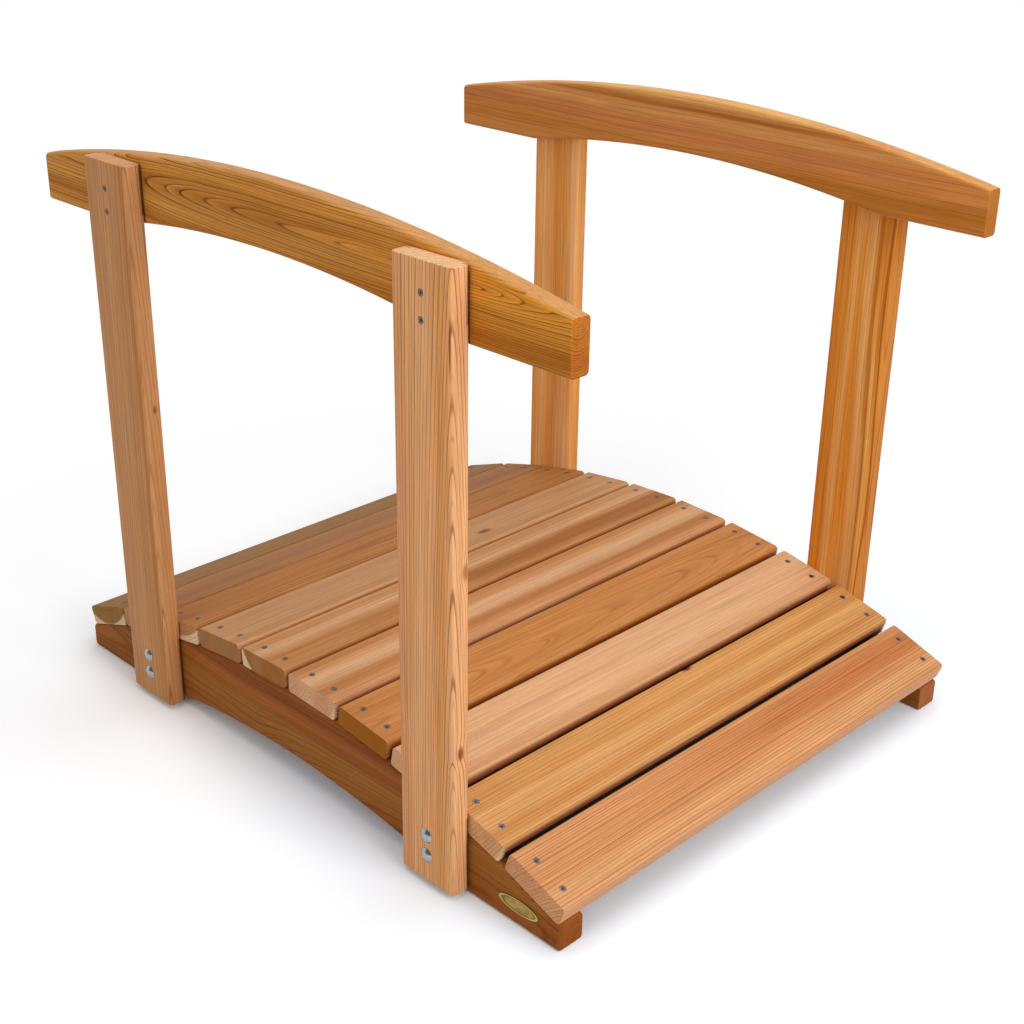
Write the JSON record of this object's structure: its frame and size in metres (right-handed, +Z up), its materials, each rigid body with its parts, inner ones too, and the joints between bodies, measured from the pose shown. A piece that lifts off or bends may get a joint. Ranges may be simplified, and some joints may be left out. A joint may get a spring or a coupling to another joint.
{
  "type": "moon bridge",
  "caption": "Small arched garden bridge in cedar: bowed stringers under a slatted plank deck, flat posts bolted to them, and a bowed handrail along each side.",
  "frame": {"origin": "on the ground, at the centre of the bridge in plan", "axes": "+X along the span towards the front end, +Y across it to the right-hand rail, +Z up"},
  "size_m": [0.9375, 0.809, 0.7609],
  "materials": {
    "stringer_cedar": "planed, oiled, red-brown heartwood",
    "deck_cedar": "planed and clear-sealed, mixed honey to pink",
    "post_cedar": "planed and clear-sealed, honey tan",
    "rail_cedar": "planed and clear-sealed, golden brown",
    "zinc_steel": "bright zinc plated",
    "plate_brass": "dull lacquered brass"
  },
  "bodies": {
    "root": {"stringer_left": "stringer_cedar", "stringer_right": "stringer_cedar", "deck_plank_01": "deck_cedar", "deck_plank_02": "deck_cedar", "deck_plank_03": "deck_cedar", "deck_plank_04": "deck_cedar", "deck_plank_05": "deck_cedar", "deck_plank_06": "deck_cedar", "deck_plank_07": "deck_cedar", "deck_plank_08": "deck_cedar", "deck_plank_09": "deck_cedar", "deck_plank_10": "deck_cedar", "post_front_left": "post_cedar", "post_front_right": "post_cedar", "post_back_left": "post_cedar", "post_back_right": "post_cedar", "rail_left": "rail_cedar", "rail_right": "rail_cedar", "bolts_front_left": "zinc_steel", "bolts_front_right": "zinc_steel", "bolts_back_left": "zinc_steel", "bolts_back_right": "zinc_steel", "oval_plate": "plate_brass"}
  },
  "joints": []
}
